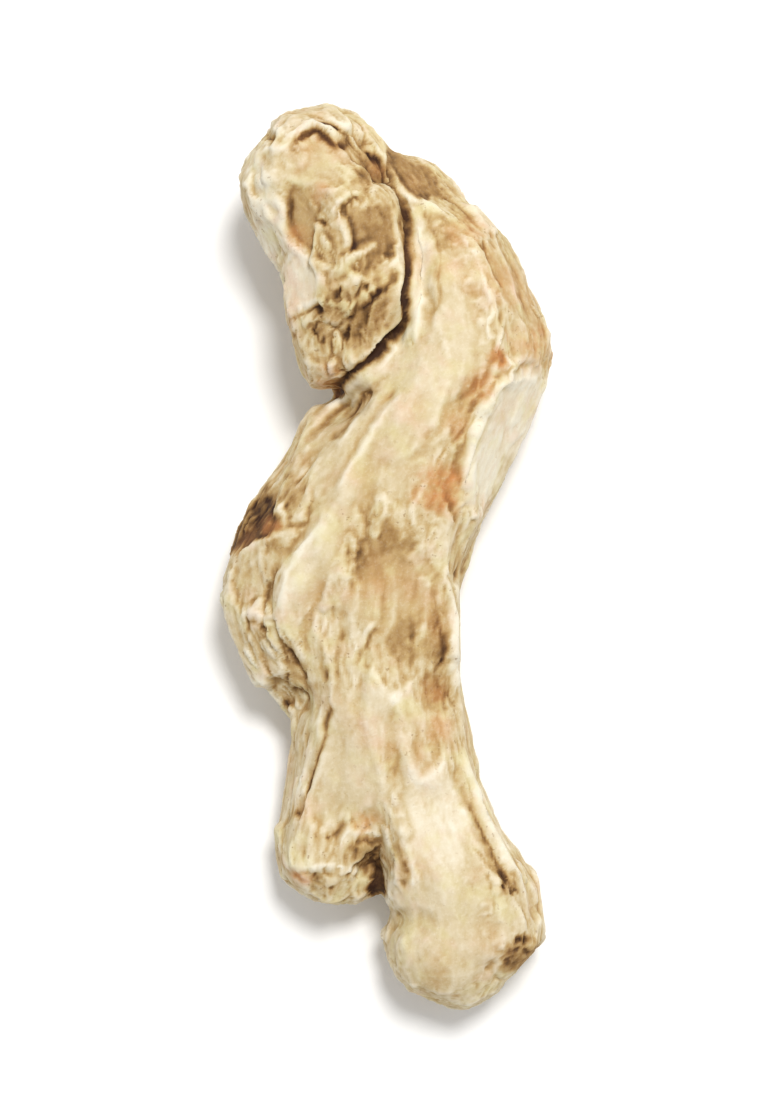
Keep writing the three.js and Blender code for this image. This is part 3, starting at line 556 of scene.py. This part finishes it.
def long_ridges(place, seed):
    """Sharp crests that run along the lobe, wander and split."""
    bend = 1.6 * noise(place * (0.16, 0.16, 0.1), seed + 1)[:, None]
    at = place + bend * (1, -1, 0)
    wide = 1 - np.abs(noise(at * (0.3, 0.3, 0.07), seed + 2)) * 2.6
    fine = 1 - np.abs(noise(at * (0.62, 0.62, 0.15), seed + 3)) * 2.6
    return 0.6 * wide + 0.4 * fine


def fine_wrinkles(place, seed):
    """Small sharp wrinkles along the lobe."""
    bend = 0.7 * noise(place * 0.5, seed + 8)[:, None]
    return 1 - 2.4 * np.abs(noise((place + bend * (1, -1, 0)) * (1.35, 1.35, 0.36), seed + 9))


def grain_streaks(place, seed):
    """Long streaks of tone along the lobe."""
    return layered(place * (1.0, 1.0, 0.13), seed + 10)


def drop_crumbs(skin):
    """Deletes the specks that the remesh leaves in the narrow gap between the fingers."""
    bpy.ops.object.mode_set(mode="EDIT")
    bpy.ops.mesh.select_all(action="DESELECT")
    bpy.ops.object.mode_set(mode="OBJECT")
    top = max(skin.data.vertices, key=lambda vertex: vertex.co.z)
    top.select = True
    bpy.ops.object.mode_set(mode="EDIT")
    bpy.ops.mesh.select_linked()
    bpy.ops.mesh.select_all(action="INVERT")
    bpy.ops.mesh.delete(type="VERT")
    bpy.ops.object.mode_set(mode="OBJECT")


def grow_skin(node):
    """The CAD solid as one fine even mesh, without its facets."""
    bpy.ops.object.select_all(action="DESELECT")
    skin = bpy.data.objects.new("ginger_skin", node.data.copy())
    bpy.context.scene.collection.objects.link(skin)
    skin.data.materials.clear()
    skin.select_set(True)
    bpy.context.view_layer.objects.active = skin
    bpy.ops.object.mode_set(mode="EDIT")
    bpy.ops.mesh.select_all(action="SELECT")
    bpy.ops.mesh.remove_doubles(threshold=0.001 * MM)
    bpy.ops.object.mode_set(mode="OBJECT")
    remesh = skin.modifiers.new("even", "REMESH")
    remesh.mode = "VOXEL"
    remesh.voxel_size = VOXEL * MM
    bpy.ops.object.modifier_apply(modifier=remesh.name)
    drop_crumbs(skin)
    soften = skin.modifiers.new("soften", "SMOOTH")
    soften.factor = 0.5
    soften.iterations = FACET_SMOOTHING
    bpy.ops.object.modifier_apply(modifier=soften.name)
    bpy.ops.object.shade_smooth()
    return skin


def sculpt(skin):
    """Folds, facets, pits and wrinkles, coarse to fine. Returns how smoothly each point is peeled."""
    for mark in NUDGES:
        nudge(skin, *mark)
    skin.update()
    peeled = peeled_share(skin)
    rough = 1 - 0.8 * peeled
    bend = PANEL_BEND * np.stack([noise(skin.points * 0.25, 51 + n) for n in range(3)], 1)
    swell = SWELL * noise(skin.points * 0.16, 71) + SMALL_SWELL * noise(skin.points * 0.33, 72)
    skin.push(swell * (1 - 0.4 * peeled))
    shrink_panels(skin, bend, *LARGE_PANEL, 0.55 * (1 - 0.65 * peeled), 101, 0.35)
    facets(skin)
    skin.push(rough * RIDGE_HEIGHT * (skin.on_lobes(long_ridges) - 0.35))
    for mark in FOLDS:
        fold(skin, *mark)
    skin.update()
    undercut(skin, "side_branch", "trunk", UNDERCUT_DEPTH, UNDERCUT_PAINTED_SHADE)
    ease(skin, smooth_step(0.1, 0.4, skin.shade))
    for mark in PITS:
        pit(skin, *mark)
    skin.update()
    shrink_panels(skin, bend, *SMALL_PANEL, 1.1 * (1 - 0.85 * peeled), 151, 0.22)
    skin.push((0.2 + 0.8 * rough) * WRINKLE_HEIGHT * skin.on_lobes(fine_wrinkles))
    skin.push(GRAIN_HEIGHT * layered(skin.points * 1.5, 91))
    return peeled


# Painting

FINE_RELIEF = 0.05     # how far a wrinkle stands out before its painted highlight is full, or sinks before its painted shade is
BROAD_RELIEF = 0.4     # the same for a swelling or a hollow

def relief(skin, rounds):
    """How far each point stands over the surface around it, in millimetres: less than 0 in a hollow."""
    around = skin.evened(skin.points, rounds)
    return np.einsum("ij,ij->i", skin.points - around, skin.normals)


def painted_tone(skin, peeled):
    """Tone from 0, chalk, to 1, darkest brown, with the painted shade of the folds, pits and undercut,
    but without the painted shade and highlight that the relief adds.
    """
    tone = np.full(len(skin.points), 0.38)
    tone += 0.14 * layered(skin.points * 0.14, 33) * (1 - skin.upper)
    for x, y, across, along, heading, wanted in PATCHES:
        cover = smooth_step(1.4, 0.5, skin.oval(x, y, across, along, heading, 0.45)) * skin.upper
        tone += 0.85 * cover * (wanted - tone)
    blotches = 0.06 * layered(skin.points * 0.35, 35) + 0.05 * layered(skin.points * 0.9, 36)
    return tone + blotches * (1 - 0.75 * peeled) + skin.shade


def orange_share(skin):
    """How rusty each point is."""
    total = 0.25 * smooth_step(0.2, 0.7, noise(skin.points * 0.2, 34))
    for x, y, radius, strength in ORANGE:
        cover = smooth_step(1.5, 0.3, skin.oval(x, y, radius, radius, 0, 0.4)) * skin.upper
        total = np.maximum(total, strength * cover)
    return total


def paint(skin, peeled):
    """Leaves what the material reads on the mesh."""
    fine = relief(skin, 5)
    broad = relief(skin, 50)
    tone = painted_tone(skin, peeled)
    # Painted shade in the hollows and painted highlight on the wrinkles and swellings
    tone -= np.clip(fine / FINE_RELIEF, -1.2, 1) * 0.16
    tone -= np.clip(broad / BROAD_RELIEF, -1, 1) * 0.14
    place, sure = skin.main_lobe()
    values = {
        "tone": np.clip(tone, 0, 1),
        "peeled": peeled,
        "orange": orange_share(skin),
        "streaks": skin.on_lobes(grain_streaks),
        "sure": sure,
    }
    for name, value in values.items():
        layer = skin.mesh.attributes.new(name, "FLOAT", "POINT")
        layer.data.foreach_set("value", value.astype(np.float32))
    layer = skin.mesh.attributes.new("place", "FLOAT_VECTOR", "POINT")
    layer.data.foreach_set("vector", place.astype(np.float32).ravel())


# Material

class Value:
    """A socket that can be used in a sum: each operator adds its Math node."""

    def __init__(self, tree, socket=None):
        self.tree = tree
        self.socket = socket

    def node(self, kind, settings=None, inputs=None):
        """Any node: its type, its settings, then the values or links of its sockets."""
        made = self.tree.nodes.new(kind)
        for name, value in (settings or {}).items():
            setattr(made, name, value)
        for name, value in (inputs or {}).items():
            if isinstance(value, Value):
                self.tree.links.new(value.socket, made.inputs[name])
            else:
                made.inputs[name].default_value = value
        return made

    def out(self, made, name=0):
        return Value(self.tree, made.outputs[name])

    def math(self, operation, *terms, clamp=False):
        return self.out(self.node("ShaderNodeMath", {"operation": operation, "use_clamp": clamp},
                                  dict(enumerate(terms))))

    def __add__(self, other):
        return self.math("ADD", self, other)

    __radd__ = __add__

    def __sub__(self, other):
        return self.math("SUBTRACT", self, other)

    def __rsub__(self, other):
        return self.math("SUBTRACT", other, self)

    def __mul__(self, other):
        return self.math("MULTIPLY", self, other)

    __rmul__ = __mul__

    def clamped(self):
        return self.math("ADD", self, 0.0, clamp=True)

    def between(self, low, high):
        """0 below low, 1 above high, and an even slope between."""
        return ((self - low) * (1 / (high - low))).clamped()

    def blend(self, below, above):
        """Colour below where this is 0, above where it is 1."""
        made = self.node("ShaderNodeMix", {"data_type": "RGBA"}, {0: self, 6: below, 7: above})
        return self.out(made, 2)

    def stretched(self, x, y, z):
        made = self.node("ShaderNodeVectorMath", {"operation": "MULTIPLY"}, {0: self, 1: (x, y, z)})
        return self.out(made)


def srgb(red, green, blue):
    """A colour given as it looks on a screen, 0 to 255, as Blender's linear one."""
    return (*[((c / 255 + 0.055) / 1.055) ** 2.4 for c in (red, green, blue)], 1)


# Colour of the flesh at each tone
TONES = [
    (0.0, srgb(235, 227, 206)), (0.18, srgb(224, 210, 181)), (0.36, srgb(206, 187, 147)),
    (0.52, srgb(188, 158, 107)), (0.68, srgb(158, 122, 73)), (0.84, srgb(112, 80, 42)),
    (1.0, srgb(56, 32, 16)),
]
RUST = srgb(206, 138, 82)
ROSE = srgb(228, 192, 168)
STRAW = srgb(218, 208, 142)
CHALK = srgb(250, 244, 226)
PORE = srgb(150, 108, 60)
PALE_FLOOR = (0.95, 0.95, 0.95, 1)


def ginger_material():
    """Matt, powdery flesh: cream where it is worn, ochre to brown with painted shade in the folds, and some
    rust.
    """
    material = bpy.data.materials.new("dried_ginger_skin")
    material.use_nodes = True
    tree = material.node_tree
    shader = tree.nodes["Principled BSDF"]
    new = Value(tree)

    def attribute(name, output="Fac"):
        return new.out(new.node("ShaderNodeAttribute", {"attribute_name": name}), output)

    def grain(vector, scale, detail, roughness=0.6):
        return new.out(new.node("ShaderNodeTexNoise", None, {
            "Vector": vector, "Scale": scale, "Detail": detail, "Roughness": roughness}), "Fac")

    solid = new.out(new.node("ShaderNodeTexCoord"), "Object").stretched(1000, 1000, 1000)
    place = attribute("place", "Vector")
    tone = attribute("tone")
    peeled = attribute("peeled")
    sure = attribute("sure")
    fibres = (grain(place.stretched(2.4, 2.4, 0.5), 1.0, 3) - 0.5) * sure
    lines = (grain(place.stretched(5.5, 5.5, 0.9), 1.0, 2) - 0.5) * sure
    mottle = grain(solid, 0.9, 4)
    dust = grain(solid, 4.0, 5, 0.7)
    pores = grain(solid, 2.2, 2).between(0.66, 0.72) * (1 - peeled * 0.7)

    streaks = attribute("streaks") * 0.07 + fibres * 0.12 + lines * 0.08
    depth = (tone + streaks * (1 - peeled * 0.45) + (mottle - 0.5) * (0.36 - peeled * 0.26)).clamped()
    ramp = new.node("ShaderNodeValToRGB", None, {"Fac": depth})
    while len(ramp.color_ramp.elements) < len(TONES):
        ramp.color_ramp.elements.new(0.5)
    for element, (position, colour) in zip(ramp.color_ramp.elements, TONES):
        element.position = position
        element.color = colour
    colour = new.out(ramp, "Color")
    warm = (attribute("orange") * (mottle.between(0.35, 0.6) * 0.5 + 0.4)).clamped()
    colour = warm.blend(colour, RUST)
    light = 1 - depth.between(0.3, 0.65)
    rosy = grain(solid, 0.45, 2).between(0.52, 0.7) * light * 0.3
    colour = rosy.blend(colour, ROSE)
    straw = grain(solid.stretched(1, 1, 1.3), 0.38, 2).between(0.5, 0.7) * light * 0.35
    colour = straw.blend(colour, STRAW)
    colour = (pores * 0.5).blend(colour, PORE)
    colour = (dust.between(0.5, 0.75) * (1 - depth) * 0.35).blend(colour, CHALK)
    tree.links.new(colour.socket, shader.inputs["Base Color"])

    rough = 0.95 - peeled * 0.1 - depth * 0.12 + (dust - 0.5) * 0.15
    tree.links.new(rough.clamped().socket, shader.inputs["Roughness"])
    shader.inputs["Specular IOR Level"].default_value = 0.25

    height = fibres * 0.5 + lines * 0.25 + dust * 0.3 + grain(solid, 1.7, 4) * 0.4 - pores * 0.4
    bump = new.node("ShaderNodeBump", None, {"Height": height, "Strength": 0.6, "Distance": 0.12 * MM})
    tree.links.new(bump.outputs["Normal"], shader.inputs["Normal"])
    return material


def floor_material():
    material = bpy.data.materials.new("pale_floor")
    material.use_nodes = True
    shader = material.node_tree.nodes["Principled BSDF"]
    shader.inputs["Base Color"].default_value = PALE_FLOOR
    shader.inputs["Roughness"].default_value = 0.9
    return material


# Camera, light and floor

ELEVATION = 84.0       # of the camera, in degrees above the horizon
FRAME_HEIGHT = 92.0    # how much of the floor the picture's height takes in
LENS = 85.0
SENSOR = 36.0          # its longer side, which is upright here
SKY_STRENGTH = 0.55
SOFTBOX_PLACE = (0.08, 0.16, 0.5)  # in metres, as its width and the floor's
SOFTBOX_WIDTH = 0.14
SOFTBOX_WATTS = 2.1
SOFTBOX_COLOUR = (1.0, 0.99, 0.97)
FLOOR_WIDTH = 3


def make_camera(low, high):
    data = bpy.data.cameras.new("camera")
    data.lens = LENS
    data.sensor_width = SENSOR
    data.clip_start = 0.01
    camera = bpy.data.objects.new("camera", data)
    bpy.context.scene.collection.objects.link(camera)
    rise = math.radians(ELEVATION)
    back = Vector((0, -math.cos(rise), math.sin(rise)))
    distance = FRAME_HEIGHT * MM / 2 / (SENSOR / 2 / LENS)
    camera.location = (low + high) / 2 + back * distance
    camera.rotation_euler = (math.radians(90) - rise, 0, 0)
    bpy.context.scene.camera = camera


def make_light():
    world = bpy.data.worlds.new("studio")
    bpy.context.scene.world = world
    world.use_nodes = True
    background = world.node_tree.nodes["Background"]
    background.inputs["Color"].default_value = (1, 1, 1, 1)
    background.inputs["Strength"].default_value = SKY_STRENGTH
    data = bpy.data.lights.new("softbox", "AREA")
    data.shape = "DISK"
    data.size = SOFTBOX_WIDTH
    data.energy = SOFTBOX_WATTS
    data.color = SOFTBOX_COLOUR
    softbox = bpy.data.objects.new("softbox", data)
    bpy.context.scene.collection.objects.link(softbox)
    softbox.location = SOFTBOX_PLACE
    softbox.rotation_euler = (Vector((0, 0, 0)) - softbox.location).to_track_quat("-Z", "Y").to_euler()


def make_floor():
    bpy.ops.object.select_all(action="DESELECT")
    bpy.ops.mesh.primitive_plane_add(size=FLOOR_WIDTH)
    floor = bpy.context.object
    floor.name = "floor"
    floor.data.materials.append(floor_material())


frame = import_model()
cad_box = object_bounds()
make_camera(*cad_box)
make_light()
make_floor()

root = grow_skin(frame["nodes"]["ginger_root"])
surface = Skin(root.data)
paint(surface, sculpt(surface))
root.data.materials.append(ginger_material())
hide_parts("ginger_root")
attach(root, "root")

bpy.context.scene.view_settings.view_transform = "Standard"
